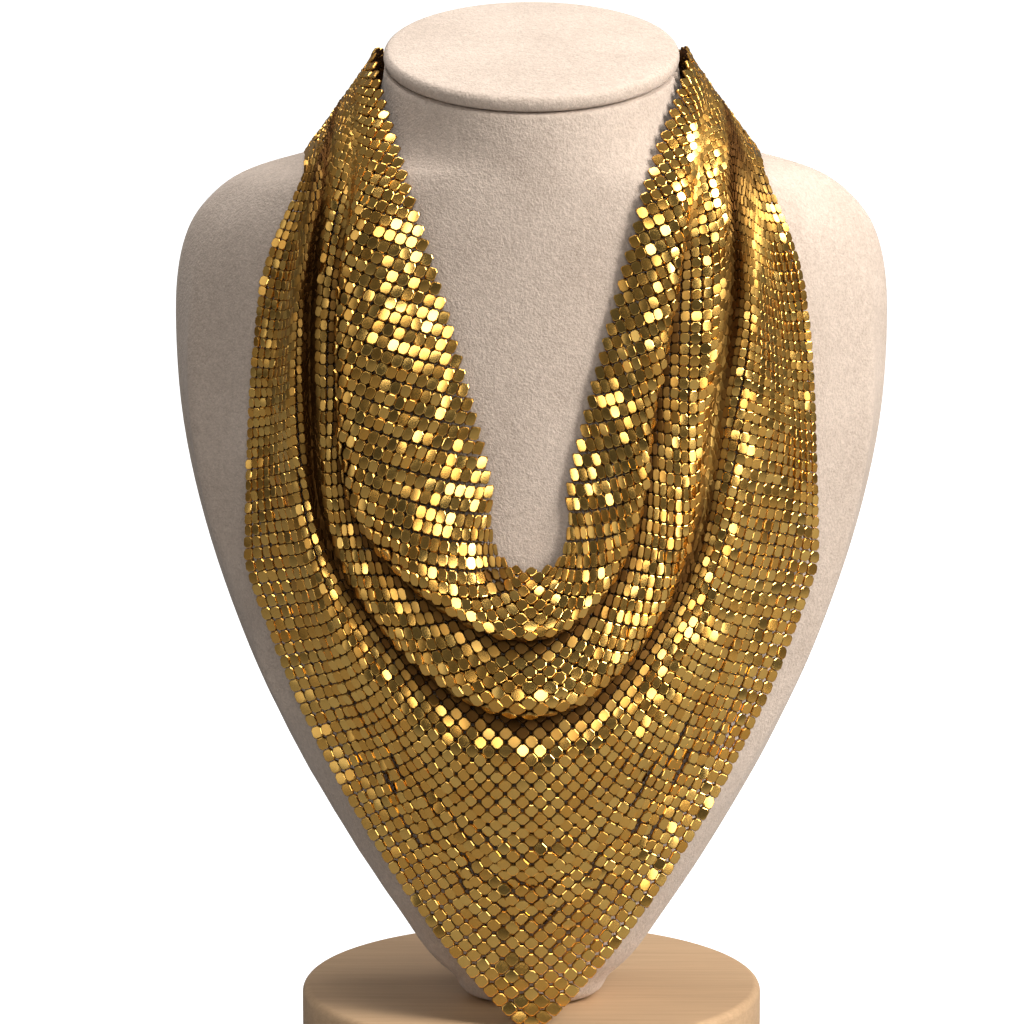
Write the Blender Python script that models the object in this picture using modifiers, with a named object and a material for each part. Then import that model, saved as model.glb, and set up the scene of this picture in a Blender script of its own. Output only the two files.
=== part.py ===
"""Metal mesh bib necklace draped on a velvet neck bust that stands on a round wooden base.

Metres, +Z up. The wearer's front looks along -Y. The origin is the centre of the base's
underside, so the whole piece stands on Z = 0.
"""
import math
from collections import namedtuple

import bmesh
import bpy
import numpy as np
from mathutils import Matrix

# Wooden base
BASE_RADIUS = 0.070
BASE_THICKNESS = 0.020
BASE_EDGE_RADIUS = 0.0025

# Velvet neck bust, measured from the top of the base
BUST_HEIGHT = 0.2795
BUST_HALF_WIDTH = 0.1087
BUST_FRONT = 0.050
BUST_BACK = 0.040
CREASE_SHARE = 0.915
BAND_DEPTH = 0.013
PANEL_BULGE = 0.75
BACK_SQUARENESS = 0.75

# Neck and its padded top
NECK_RADIUS = 0.04385
NECK_AXIS_Y = -0.003
NECK_TILT = math.radians(15.8)
NECK_TILT_START = 0.895
CAP_THICKNESS = 0.0052
CAP_DOME = 0.0010
CAP_EDGE_RADIUS = 0.0023
CAP_CROWN_SHARE = 0.6
CAP_CROWN_RISE = 0.7
CAP_FOOT_SHARE = 0.97

# Metal mesh bib
MESH_WALL = 0.0010
MESH_LAY = 0.0021
FOLD_DEPTH = 0.020
FOLD_SLACK_SHARE = 0.75
SHOULDER_SHARE = 0.887
CHEST_SHARE = 0.770
RIPPLE_DEPTH = 0.0016
RIPPLE_COUNT = 4
RIPPLE_START_SHARE = 0.66
RIPPLE_END_SHARE = 0.90
RIPPLE_RISE_SHARE = 0.6
RIPPLE_FULL_SHARE = 0.9

# Fittings that close the loop behind the neck
END_CAP_LENGTH = 0.0070
END_CAP_DEPTH = 0.0032
CLASP_HEIGHT = 0.0050
CLASP_DEPTH = 0.0018
FITTING_EDGE_SHARE = 0.2

PIECE_GAP = 0.0003

FRONT_STEPS = 18
BAND_STEPS = 2
BACK_STEPS = 12
NECK_SIDES = 48
MESH_COLUMNS = 22
MESH_STEPS_PER_FOLD = (3, 4, 4, 5, 3, 4, 5, 6, 6)
LINE_SAMPLES = 160
CURVE_POINTS = 6

# Sections of the bust from the foot up. Heights are shares of BUST_HEIGHT, half widths of
# BUST_HALF_WIDTH, front of BUST_FRONT, side (the depth of the widest point) and back of
# BUST_BACK; roundness runs from 0, a moulded front panel, to 1, an oval.
BustRow = namedtuple("BustRow", "height half_width front side back roundness")
BUST_ROWS = (
    BustRow(0.000, 0.156, 0.58, -0.40, -0.08, 1.00),
    BustRow(0.005, 0.189, 0.65, -0.40, 0.01, 1.00),
    BustRow(0.014, 0.207, 0.68, -0.40, 0.05, 1.00),
    BustRow(0.025, 0.215, 0.69, -0.40, 0.08, 0.90),
    BustRow(0.043, 0.285, 0.74, -0.35, 0.20, 0.60),
    BustRow(0.081, 0.353, 0.82, -0.30, 0.30, 0.35),
    BustRow(0.122, 0.434, 0.88, -0.20, 0.40, 0.20),
    BustRow(0.165, 0.510, 0.93, -0.12, 0.48, 0.10),
    BustRow(0.207, 0.578, 0.96, -0.05, 0.55, 0.00),
    BustRow(0.248, 0.645, 0.98, 0.05, 0.60, 0.00),
    BustRow(0.289, 0.703, 0.99, 0.15, 0.65, 0.00),
    BustRow(0.331, 0.759, 1.00, 0.23, 0.70, 0.00),
    BustRow(0.373, 0.808, 1.00, 0.28, 0.75, 0.00),
    BustRow(0.458, 0.891, 0.99, 0.36, 0.82, 0.00),
    BustRow(0.546, 0.953, 0.97, 0.38, 0.87, 0.00),
    BustRow(0.633, 0.992, 0.95, 0.38, 0.90, 0.00),
    BustRow(0.720, 1.000, 0.93, 0.38, 0.91, 0.00),
    BustRow(0.766, 0.996, 0.925, 0.38, 0.92, 0.00),
    BustRow(0.804, 0.978, 0.92, 0.37, 0.93, 0.02),
    BustRow(0.834, 0.947, 0.92, 0.36, 0.94, 0.05),
    BustRow(0.857, 0.896, 0.915, 0.34, 0.95, 0.10),
    BustRow(0.878, 0.834, 0.915, 0.31, 0.96, 0.20),
    BustRow(0.893, 0.740, 0.91, 0.27, 0.97, 0.35),
    BustRow(0.904, 0.610, 0.91, 0.20, 0.97, 0.55),
    BustRow(0.918, 0.510, 0.91, 0.10, 0.97, 0.75),
)

# Sections of the neck, with every size a share of NECK_RADIUS. Front and back are measured
# from the neck's axis, and side is how far the widest point lies behind it.
NECK_ROWS = (
    BustRow(0.940, 1.103, 0.969, 0.068, 0.962, 0.90),
    BustRow(0.968, 1.027, 0.969, 0.014, 0.967, 1.00),
)

# Fold lines of the mesh from the neckline to the outer edge. Across is the share of the cut
# width. Left and right half widths, at the shoulder, the chest and the height where the line
# turns in, are shares of BUST_HALF_WIDTH; turn and low are heights as shares of BUST_HEIGHT;
# squareness shapes the turn, 1 straight to the centre, 2 an ellipse. Lifts off the bust, at
# the shoulder, the chest and the centre, are shares of FOLD_DEPTH on top of MESH_LAY.
FoldRow = namedtuple(
    "FoldRow",
    "across left_shoulder left_chest left_turn right_shoulder right_chest right_turn"
    " turn low squareness lift_shoulder lift_chest lift_centre",
)
FOLD_ROWS = (
    FoldRow(0.00, 0.340, 0.248, 0.116, 0.317, 0.235, 0.106, 0.572, 0.487, 3.0, 0.00, 0.00, 0.05),
    FoldRow(0.07, 0.405, 0.377, 0.350, 0.372, 0.313, 0.248, 0.626, 0.449, 2.0, 0.15, 0.28, 0.47),
    FoldRow(0.15, 0.455, 0.520, 0.520, 0.418, 0.396, 0.325, 0.626, 0.406, 2.0, 0.15, 0.40, 0.78),
    FoldRow(0.23, 0.478, 0.500, 0.496, 0.437, 0.365, 0.296, 0.615, 0.455, 2.0, 0.05, 0.02, 0.04),
    FoldRow(0.35, 0.508, 0.552, 0.546, 0.478, 0.457, 0.412, 0.608, 0.365, 2.0, 0.15, 0.15, 0.83),
    FoldRow(0.39, 0.526, 0.568, 0.563, 0.502, 0.494, 0.442, 0.601, 0.330, 2.0, 0.13, 0.12, 0.88),
    FoldRow(0.48, 0.548, 0.592, 0.592, 0.527, 0.534, 0.480, 0.601, 0.372, 2.0, 0.05, 0.02, 0.06),
    FoldRow(0.60, 0.575, 0.622, 0.632, 0.575, 0.590, 0.558, 0.626, 0.284, 2.0, 0.20, 0.34, 0.42),
    FoldRow(0.80, 0.596, 0.672, 0.710, 0.603, 0.669, 0.704, 0.572, 0.135, 1.6, 0.17, 0.03, 0.10),
    FoldRow(1.00, 0.615, 0.727, 0.776, 0.630, 0.734, 0.777, 0.490, 0.0055, 1.27, 0.20, 0.00, 0.05),
)

# Way of the mesh round the back of the neck, from the nape to the top of the shoulder. Angle
# is in degrees from the middle of the back; out is the distance off the neck and down the
# drop below the neck's top, in shares of FOLD_DEPTH, at the neckline and at the outer edge.
NapeRow = namedtuple("NapeRow", "neckline_angle outer_angle neckline_out outer_out neckline_down outer_down")
NAPE_ROWS = (
    NapeRow(16.0, 16.0, 0.00, 0.03, 0.10, 0.42),
    NapeRow(54.0, 52.0, 0.03, 0.44, 0.02, 0.86),
    NapeRow(93.0, 80.0, 0.06, 0.97, -0.12, 1.12),
)


def smooth(stations, values, query, slack=1.0):
    """Cubic curve through values at increasing stations; less slack pulls it tighter."""
    stations = np.asarray(stations, float)
    values = np.asarray(values, float)
    query = np.clip(np.asarray(query, float), stations[0], stations[-1])
    slopes = np.empty_like(values)
    steps = stations.reshape((-1,) + (1,) * (values.ndim - 1))
    slopes[1:-1] = slack * (values[2:] - values[:-2]) / (steps[2:] - steps[:-2])
    slopes[0] = (values[1] - values[0]) / (steps[1] - steps[0])
    slopes[-1] = (values[-1] - values[-2]) / (steps[-1] - steps[-2])
    index = np.clip(np.searchsorted(stations, query, side="right") - 1, 0, len(stations) - 2)
    width = (stations[index + 1] - stations[index]).reshape(query.shape + (1,) * (values.ndim - 1))
    share = ((query - stations[index]).reshape(width.shape)) / width
    start = values[index]
    end = values[index + 1]
    return (
        (1 + 2 * share) * (1 - share) ** 2 * start
        + share * (1 - share) ** 2 * width * slopes[index]
        + share**2 * (3 - 2 * share) * end
        + share**2 * (share - 1) * width * slopes[index + 1]
    )


def bust_table():
    """Rows of height share, half width, front, side and back in metres, and roundness."""
    rows = []
    for row in BUST_ROWS:
        depths = (-row.front * BUST_FRONT, row.side * BUST_BACK, row.back * BUST_BACK)
        rows.append((row.height, row.half_width * BUST_HALF_WIDTH, *depths, row.roundness))
    for row in NECK_ROWS:
        depths = [NECK_AXIS_Y + share * NECK_RADIUS for share in (-row.front, row.side, row.back)]
        rows.append((row.height, row.half_width * NECK_RADIUS, *depths, row.roundness))
    reach = NECK_RADIUS * math.cos(NECK_TILT)
    rows.append((1.0, NECK_RADIUS, NECK_AXIS_Y - reach, NECK_AXIS_Y, NECK_AXIS_Y + reach, 1.0))
    return np.array(rows)


BUST_TABLE = bust_table()


def bust_section(height_share):
    """Half width, front, side and back in metres, with the roundness, at a height share."""
    row = smooth(BUST_TABLE[:, 0], BUST_TABLE[:, 1:], height_share)
    return tuple(row[..., column] for column in range(row.shape[-1]))


def bust_front(x, height_share):
    """Depth of the bust's front panel at x, for a share of the bust's height."""
    half_width, front, side, _, roundness = bust_section(height_share)
    crease_y = side - BAND_DEPTH
    sine = np.minimum(np.abs(x) / half_width, 1.0)
    panel_share = np.minimum(sine / CREASE_SHARE, 1.0)
    panel = crease_y - (crease_y - front) * (1 - panel_share**2) ** PANEL_BULGE
    oval = side - (side - front) * np.sqrt(1 - sine**2)
    return (1 - roundness) * panel + roundness * oval


def bust_ring(height_share):
    """Points of one section, starting at the left crease and running round the front."""
    half_width, front, side, back, roundness = (float(v) for v in bust_section(height_share))
    crease = math.asin(CREASE_SHARE)
    crease_x = half_width * CREASE_SHARE
    crease_y = side - BAND_DEPTH
    angles = list(np.linspace(-crease, crease, FRONT_STEPS + 1))
    angles += list(np.linspace(crease, math.pi / 2, BAND_STEPS + 1)[1:])
    angles += list(np.linspace(math.pi / 2, 3 * math.pi / 2, BACK_STEPS + 1)[1:])
    angles += list(np.linspace(3 * math.pi / 2, 2 * math.pi - crease, BAND_STEPS + 1)[1:-1])
    tilt = max(0.0, (height_share - NECK_TILT_START) / (1 - NECK_TILT_START))
    points = []
    for angle in angles:
        sine = math.sin(angle)
        cosine = math.cos(angle)
        turn = math.asin(min(abs(sine), 1.0))
        if cosine >= -1e-9 and turn <= crease + 1e-9:
            share = sine / CREASE_SHARE
            x = crease_x * share
            y = crease_y - (crease_y - front) * max(0.0, 1 - share**2) ** PANEL_BULGE
        elif cosine >= -1e-9:
            share = (turn - crease) / (math.pi / 2 - crease)
            x = math.copysign(crease_x + (half_width - crease_x) * math.sin(share * math.pi / 2), sine)
            y = crease_y + (side - crease_y) * share
        else:
            x = math.copysign(half_width * abs(sine) ** BACK_SQUARENESS, sine)
            y = side + (back - side) * abs(cosine) ** BACK_SQUARENESS
        oval_y = side - (side - front) * cosine if cosine > 0 else side - (back - side) * cosine
        x = (1 - roundness) * x + roundness * half_width * sine
        y = (1 - roundness) * y + roundness * oval_y
        slope = tilt * math.tan(NECK_TILT) * (y - NECK_AXIS_Y)
        points.append((x, y, height_share * BUST_HEIGHT + slope))
    return points


def drape_front(x, height_share):
    """Depth at which cloth hangs at x: the furthest front of the bust at or above a height."""
    levels = np.linspace(0.0, CHEST_SHARE, 40)
    depth = bust_front(x, height_share)
    for level in levels:
        depth = np.where(level >= height_share, np.minimum(depth, bust_front(x, level)), depth)
    return depth


def nape_points(across, side):
    """The three points of a fold line behind the neck and over the shoulder."""
    points = []
    for row in NAPE_ROWS:
        angle = math.radians(row.neckline_angle + (row.outer_angle - row.neckline_angle) * across)
        out = row.neckline_out + (row.outer_out - row.neckline_out) * across
        down = row.neckline_down + (row.outer_down - row.neckline_down) * across
        radius = NECK_RADIUS + MESH_LAY + out * FOLD_DEPTH
        height = BUST_HEIGHT - down * FOLD_DEPTH
        points.append((side * radius * math.sin(angle), NECK_AXIS_Y + radius * math.cos(angle), height))
    return points


def half_line(row, side):
    """Points of one fold line from the nape down to, and without, the one on the centre."""
    if side < 0:
        widths = (row.left_shoulder, row.left_chest, row.left_turn)
    else:
        widths = (row.right_shoulder, row.right_chest, row.right_turn)
    shoulder, chest, turn = (share * BUST_HALF_WIDTH for share in widths)
    stations = [(shoulder, SHOULDER_SHARE, row.lift_shoulder), (chest, CHEST_SHARE, row.lift_chest)]
    for step in range(CURVE_POINTS):
        angle = math.pi / 2 * step / CURVE_POINTS
        x = turn * math.cos(angle) ** (2 / row.squareness)
        fall = math.sin(angle) ** (2 / row.squareness)
        stations.append((x, row.turn + (row.low - row.turn) * fall, lift_at(row, math.cos(angle))))
    points = nape_points(row.across, side)
    points += [draped_point(side * x, height, lift) for x, height, lift in stations]
    return points


def lift_at(row, cosine):
    """Lift off the bust where a fold line turns in, from 1 at the turn to 0 at the centre."""
    return row.lift_centre + (row.lift_chest - row.lift_centre) * cosine


def draped_point(x, height, lift):
    """Point of the mesh's middle surface over the chest, from shares of height and fold depth."""
    depth = float(drape_front(x, height)) - MESH_LAY - lift * FOLD_DEPTH
    return (x, depth, height * BUST_HEIGHT)


def spread(points):
    """Points spaced evenly along a line, one for each column of the mesh and one more."""
    travel = np.concatenate(([0.0], np.cumsum(np.linalg.norm(np.diff(points, axis=0), axis=1))))
    shares = np.linspace(0.0, travel[-1], MESH_COLUMNS + 1)
    return np.stack([np.interp(shares, travel, points[:, axis]) for axis in range(3)], axis=1)


def fold_line(row):
    """Points of one fold line from the left end of the mesh to the right one."""
    left = half_line(row, -1)
    right = half_line(row, 1)
    points = np.array(left + [draped_point(0.0, row.low, row.lift_centre)] + right[::-1])
    chords = np.concatenate(([0.0], np.cumsum(np.linalg.norm(np.diff(points, axis=0), axis=1))))
    middle = chords[len(left)]
    left_line = smooth(chords, points, np.linspace(0.0, middle, LINE_SAMPLES))
    right_line = smooth(chords, points, np.linspace(middle, chords[-1], LINE_SAMPLES))
    return np.concatenate((spread(left_line), spread(right_line)[1:]))


def across_stations():
    """Shares of the cut width at which the mesh is sampled, with every fold line among them."""
    stations = []
    for row, after, steps in zip(FOLD_ROWS, FOLD_ROWS[1:], MESH_STEPS_PER_FOLD):
        stations += [row.across + (after.across - row.across) * k / steps for k in range(steps)]
    return np.array(stations + [FOLD_ROWS[-1].across])


def ripple(across, along):
    """Shallow smile-shaped waves over the middle of the lower chest."""
    share = np.clip((across - RIPPLE_START_SHARE) / (RIPPLE_END_SHARE - RIPPLE_START_SHARE), 0.0, 1.0)
    fade = np.sin(math.pi * share) ** 0.5
    middle = np.clip((along - RIPPLE_RISE_SHARE) / (RIPPLE_FULL_SHARE - RIPPLE_RISE_SHARE), 0.0, 1.0)
    return RIPPLE_DEPTH * fade * middle * np.sin(2 * math.pi * RIPPLE_COUNT * share)


def mesh_surface():
    """Grid of points of the folded mesh, indexed by column (left to right) and across share."""
    fold_shares = [row.across for row in FOLD_ROWS]
    across = across_stations()
    lines = np.stack([fold_line(row) for row in FOLD_ROWS])
    grid = smooth(fold_shares, lines, across, FOLD_SLACK_SHARE).transpose(1, 0, 2)
    along = 1 - np.abs(np.linspace(-1.0, 1.0, 2 * MESH_COLUMNS + 1))
    grid[:, :, 1] -= ripple(across[None, :], along[:, None])
    return grid


def collection(name, scene_root):
    group = bpy.data.collections.new(name)
    scene_root.children.link(group)
    return group


def material(name, colour, roughness, metallic):
    """Principled material in one colour."""
    result = bpy.data.materials.new(name)
    result.use_nodes = True
    shader = result.node_tree.nodes["Principled BSDF"]
    shader.inputs["Base Color"].default_value = (*colour, 1.0)
    shader.inputs["Roughness"].default_value = roughness
    shader.inputs["Metallic"].default_value = metallic
    return result


def place(name, mesh, group, finish):
    """Object named after its piece, with its own material, in the part's collection."""
    piece = bpy.data.objects.new(name, mesh)
    mesh.materials.append(finish)
    group.objects.link(piece)
    return piece


def smooth_shading(mesh, angle=40.0):
    mesh.shade_smooth()
    mesh.set_sharp_from_angle(angle=math.radians(angle))


def turned(name, profile, group, finish):
    """Solid of revolution from an outer profile that runs down from the axis and back to it."""
    mesh = bpy.data.meshes.new(name)
    edges = [(k, k + 1) for k in range(len(profile) - 1)]
    mesh.from_pydata([(radius, 0.0, height) for radius, height in profile], edges, [])
    piece = place(name, mesh, group, finish)
    screw = piece.modifiers.new("Turn", "SCREW")
    screw.steps = NECK_SIDES
    screw.render_steps = NECK_SIDES
    screw.use_merge_vertices = True
    screw.merge_threshold = 0.00001
    return piece


def corner_arc(radius, height, size, start, end, steps=3):
    """Points of a rounded corner about a centre, in the profile's plane."""
    angles = [math.radians(start + (end - start) * k / steps) for k in range(steps + 1)]
    return [(radius + size * math.cos(a), height + size * math.sin(a)) for a in angles]


def wood_base(group):
    """Round wooden foot with a softly rounded upper edge."""
    finish = material("maple_wood", (0.70, 0.50, 0.31), 0.55, 0.0)
    inner = BASE_RADIUS - BASE_EDGE_RADIUS
    profile = [(0.0, BASE_THICKNESS)]
    profile += corner_arc(inner, BASE_THICKNESS - BASE_EDGE_RADIUS, BASE_EDGE_RADIUS, 90, 0)
    profile += corner_arc(inner, BASE_EDGE_RADIUS, BASE_EDGE_RADIUS, 0, -90)
    profile.append((0.0, 0.0))
    return turned("wood_base", profile, group, finish)


def neck_bust(group):
    """Velvet-covered form, lofted through its sections, that stands on the base."""
    finish = material("velvet", (0.55, 0.47, 0.41), 0.95, 0.0)
    shares = list(BUST_TABLE[:, 0])
    rings = [bust_ring(share) for share in shares]
    builder = bmesh.new()
    loops = [[builder.verts.new(point) for point in ring] for ring in rings]
    for lower, upper in zip(loops, loops[1:]):
        for k in range(len(lower)):
            after = (k + 1) % len(lower)
            builder.faces.new((lower[k], lower[after], upper[after], upper[k]))
    builder.faces.new(list(reversed(loops[0])))
    builder.faces.new(loops[-1])
    bmesh.ops.recalc_face_normals(builder, faces=builder.faces)
    mesh = bpy.data.meshes.new("neck_bust")
    builder.to_mesh(mesh)
    builder.free()
    smooth_shading(mesh)
    piece = place("neck_bust", mesh, group, finish)
    piece.location.z = BASE_THICKNESS + PIECE_GAP
    return piece


def neck_frame(lift):
    """Matrix of the neck's tilted top plane, raised by lift along its own normal."""
    centre = Matrix.Translation((0.0, NECK_AXIS_Y, BASE_THICKNESS + PIECE_GAP + BUST_HEIGHT))
    return centre @ Matrix.Rotation(NECK_TILT, 4, "X") @ Matrix.Translation((0.0, 0.0, lift))


def neck_cap(group):
    """Padded velvet disc that closes the neck, with a slightly domed top."""
    finish = material("velvet_cap", (0.60, 0.53, 0.48), 0.95, 0.0)
    inner = NECK_RADIUS - CAP_EDGE_RADIUS
    low = CAP_EDGE_RADIUS
    high = CAP_THICKNESS - CAP_EDGE_RADIUS
    profile = [(0.0, CAP_THICKNESS + CAP_DOME)]
    profile.append((inner * CAP_CROWN_SHARE, CAP_THICKNESS + CAP_DOME * CAP_CROWN_RISE))
    profile += corner_arc(inner, high, CAP_EDGE_RADIUS, 80, 0, 4)
    profile += corner_arc(inner, low, CAP_EDGE_RADIUS, 0, -60, 3)
    profile.append((inner * CAP_FOOT_SHARE, 0.0))
    profile.append((0.0, 0.0))
    piece = turned("neck_cap", profile, group, finish)
    piece.matrix_world = neck_frame(PIECE_GAP)
    return piece


def mesh_bib(group):
    """Folded triangle of metal mesh: one thin wall over the chest and round the neck."""
    finish = material("gold_mesh", (0.80, 0.58, 0.22), 0.25, 1.0)
    grid = mesh_surface()
    columns, rows, _ = grid.shape
    builder = bmesh.new()
    verts = [[builder.verts.new(grid[c, r]) for r in range(rows)] for c in range(columns)]
    for c in range(columns - 1):
        for r in range(rows - 1):
            builder.faces.new((verts[c][r], verts[c][r + 1], verts[c + 1][r + 1], verts[c + 1][r]))
    mesh = bpy.data.meshes.new("mesh_bib")
    builder.to_mesh(mesh)
    builder.free()
    piece = place("mesh_bib", mesh, group, finish)
    piece.location.z = BASE_THICKNESS + PIECE_GAP
    wall = piece.modifiers.new("Wall", "SOLIDIFY")
    wall.thickness = MESH_WALL
    wall.offset = 0.0
    mesh.shade_smooth()
    return piece


def nape_end(side):
    """Middle, tangent angle and height of the mesh's end behind the neck."""
    row = NAPE_ROWS[0]
    angle = math.radians(row.neckline_angle)
    out = (row.neckline_out + row.outer_out) / 2
    radius = NECK_RADIUS + MESH_LAY + out * FOLD_DEPTH
    drop = (row.neckline_down + row.outer_down) / 2 * FOLD_DEPTH
    width = (row.outer_down - row.neckline_down) * FOLD_DEPTH
    middle = (
        side * radius * math.sin(angle),
        NECK_AXIS_Y + radius * math.cos(angle),
        BASE_THICKNESS + PIECE_GAP + BUST_HEIGHT - drop,
    )
    return middle, -side * angle, width


def end_cap(group, name, side):
    """Tapered metal cap that closes one end of the mesh behind the neck."""
    finish = material(name, (0.80, 0.58, 0.22), 0.25, 1.0)
    middle, turn, width = nape_end(side)
    wide = width / 2 + MESH_WALL
    builder = bmesh.new()
    bmesh.ops.create_cube(builder, size=1.0)
    for vertex in builder.verts:
        narrow = CLASP_HEIGHT / 2 if vertex.co.x * side < 0 else wide
        vertex.co.x *= END_CAP_LENGTH
        vertex.co.y *= END_CAP_DEPTH
        vertex.co.z *= 2 * narrow
    mesh = bpy.data.meshes.new(name)
    builder.to_mesh(mesh)
    builder.free()
    piece = place(name, mesh, group, finish)
    edge = piece.modifiers.new("Edge", "BEVEL")
    edge.width = END_CAP_DEPTH * FITTING_EDGE_SHARE
    edge.segments = 2
    offset = -side * (END_CAP_LENGTH / 2 + PIECE_GAP)
    frame = Matrix.Translation(middle) @ Matrix.Rotation(turn, 4, "Z")
    piece.matrix_world = frame @ Matrix.Translation((offset, 0.0, 0.0))
    return piece


def hook_clasp(group):
    """Plain flat clasp that joins the two end caps."""
    finish = material("clasp", (0.80, 0.58, 0.22), 0.25, 1.0)
    middle, turn, _ = nape_end(-1)
    reach = END_CAP_LENGTH + 2 * PIECE_GAP
    inner_x = abs(middle[0]) - reach * math.cos(turn)
    inner_y = middle[1] + reach * math.sin(turn)
    corner = END_CAP_DEPTH / 2 * math.sin(turn)
    builder = bmesh.new()
    bmesh.ops.create_cube(builder, size=1.0)
    for vertex in builder.verts:
        vertex.co.x *= 2 * (inner_x - corner)
        vertex.co.y *= CLASP_DEPTH
        vertex.co.z *= CLASP_HEIGHT
    mesh = bpy.data.meshes.new("hook_clasp")
    builder.to_mesh(mesh)
    builder.free()
    piece = place("hook_clasp", mesh, group, finish)
    edge = piece.modifiers.new("Edge", "BEVEL")
    edge.width = CLASP_DEPTH * FITTING_EDGE_SHARE
    edge.segments = 2
    piece.location = (0.0, inner_y, middle[2])
    return piece


def build():
    for item in list(bpy.data.objects):
        bpy.data.objects.remove(item)
    parts = collection("mesh_bib_necklace", bpy.context.scene.collection)
    wood_base(parts)
    neck_bust(parts)
    neck_cap(parts)
    mesh_bib(parts)
    end_cap(parts, "end_cap_left", -1)
    end_cap(parts, "end_cap_right", 1)
    hook_clasp(parts)


build()
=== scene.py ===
"""Dressed scene of a metal mesh bib necklace on a velvet neck bust with a round wooden base.

Metres, +Z up, the wearer's front towards -Y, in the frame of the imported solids.
"""
import functools
import math
from collections import namedtuple

import bmesh
import bpy
import numpy as np
from bpy.props import FloatProperty, FloatVectorProperty, IntProperty, PointerProperty
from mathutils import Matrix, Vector
from mathutils.bvhtree import BVHTree


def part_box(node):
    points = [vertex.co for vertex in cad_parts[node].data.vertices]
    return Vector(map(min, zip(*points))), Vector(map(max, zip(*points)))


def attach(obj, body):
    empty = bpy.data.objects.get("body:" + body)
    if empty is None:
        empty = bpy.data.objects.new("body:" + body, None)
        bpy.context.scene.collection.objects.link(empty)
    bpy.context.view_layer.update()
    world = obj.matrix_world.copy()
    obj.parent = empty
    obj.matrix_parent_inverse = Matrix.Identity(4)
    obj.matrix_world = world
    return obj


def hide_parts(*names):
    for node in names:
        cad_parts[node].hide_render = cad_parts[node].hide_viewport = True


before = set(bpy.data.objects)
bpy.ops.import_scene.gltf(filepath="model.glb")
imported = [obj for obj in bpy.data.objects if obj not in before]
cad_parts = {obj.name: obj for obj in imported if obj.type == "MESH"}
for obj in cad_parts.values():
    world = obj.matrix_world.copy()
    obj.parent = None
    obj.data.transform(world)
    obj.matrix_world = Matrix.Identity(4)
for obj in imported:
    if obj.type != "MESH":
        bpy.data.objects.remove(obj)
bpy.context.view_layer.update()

bl_info = {
    "name": "Metal mesh bib necklace",
    "version": (1, 0, 0),
    "blender": (4, 5, 0),
    "location": "3D View > Sidebar > Necklace",
    "description": "Lays a metal mesh bib on a velvet neck bust with a wooden base",
    "category": "Add Mesh",
}

# Bust and neck, as in the solids
BUST_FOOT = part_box("neck_bust")[0].z
BUST_HEIGHT = 0.2795
BUST_HALF_WIDTH = 0.1087
NECK_RADIUS = 0.04385
NECK_AXIS_Y = -0.003

# Lay of the mesh, as in the solids
MESH_LAY = 0.0021
FOLD_DEPTH = 0.020
FOLD_SLACK_SHARE = 0.75
SHOULDER_SHARE = 0.887
CHEST_SHARE = 0.770
RIPPLE_DEPTH = 0.0016
RIPPLE_COUNT = 4
RIPPLE_START_SHARE = 0.66
RIPPLE_END_SHARE = 0.90
RIPPLE_RISE_SHARE = 0.6
RIPPLE_FULL_SHARE = 0.9
CURVE_POINTS = 6
LINE_SAMPLES = 400
DRAPE_LEVELS = 40

# Net of plates: its cut is a right-angled triangle with a plate at every crossing
END_SHARE = 0.045
LINK_LONGEST = 1.04
SOLVER_ROUNDS = 18
SOLVER_EVENING = 0.25
SETTLING_STRIDE = 3
SETTLING = 0.7
END_HELD = 0.03
TREE_COLUMNS = 80
TREE_ROWS = 101
BUST_CLEARANCE = 0.0014

# Fold lines of the mesh from the neckline to the outer edge. Across is the share of the cut
# width. Left and right half widths, at the shoulder, the chest and the height where the line
# turns in, are shares of BUST_HALF_WIDTH; turn and low are heights as shares of BUST_HEIGHT;
# squareness shapes the turn, 1 straight to the centre, 2 an ellipse. Lifts off the bust, at
# the shoulder, the chest and the centre, are shares of FOLD_DEPTH on top of MESH_LAY.
FoldRow = namedtuple(
    "FoldRow",
    "across left_shoulder left_chest left_turn right_shoulder right_chest right_turn"
    " turn low squareness lift_shoulder lift_chest lift_centre",
)
FOLD_ROWS = (
    FoldRow(0.00, 0.340, 0.248, 0.116, 0.317, 0.235, 0.106, 0.572, 0.487, 3.0, 0.00, 0.00, 0.05),
    FoldRow(0.07, 0.405, 0.377, 0.350, 0.372, 0.313, 0.248, 0.626, 0.449, 2.0, 0.15, 0.28, 0.47),
    FoldRow(0.15, 0.455, 0.520, 0.520, 0.418, 0.396, 0.325, 0.626, 0.406, 2.0, 0.15, 0.40, 0.78),
    FoldRow(0.23, 0.478, 0.500, 0.496, 0.437, 0.365, 0.296, 0.615, 0.455, 2.0, 0.05, 0.02, 0.04),
    FoldRow(0.35, 0.508, 0.552, 0.546, 0.478, 0.457, 0.412, 0.608, 0.365, 2.0, 0.15, 0.15, 0.83),
    FoldRow(0.39, 0.526, 0.568, 0.563, 0.502, 0.494, 0.442, 0.601, 0.330, 2.0, 0.13, 0.12, 0.88),
    FoldRow(0.48, 0.548, 0.592, 0.592, 0.527, 0.534, 0.480, 0.601, 0.372, 2.0, 0.05, 0.02, 0.06),
    FoldRow(0.60, 0.575, 0.622, 0.632, 0.575, 0.590, 0.558, 0.626, 0.284, 2.0, 0.20, 0.34, 0.42),
    FoldRow(0.80, 0.596, 0.672, 0.710, 0.603, 0.669, 0.704, 0.572, 0.135, 1.6, 0.17, 0.03, 0.10),
    FoldRow(1.00, 0.615, 0.727, 0.776, 0.630, 0.734, 0.777, 0.490, 0.0055, 1.27, 0.20, 0.00, 0.05),
)

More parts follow.
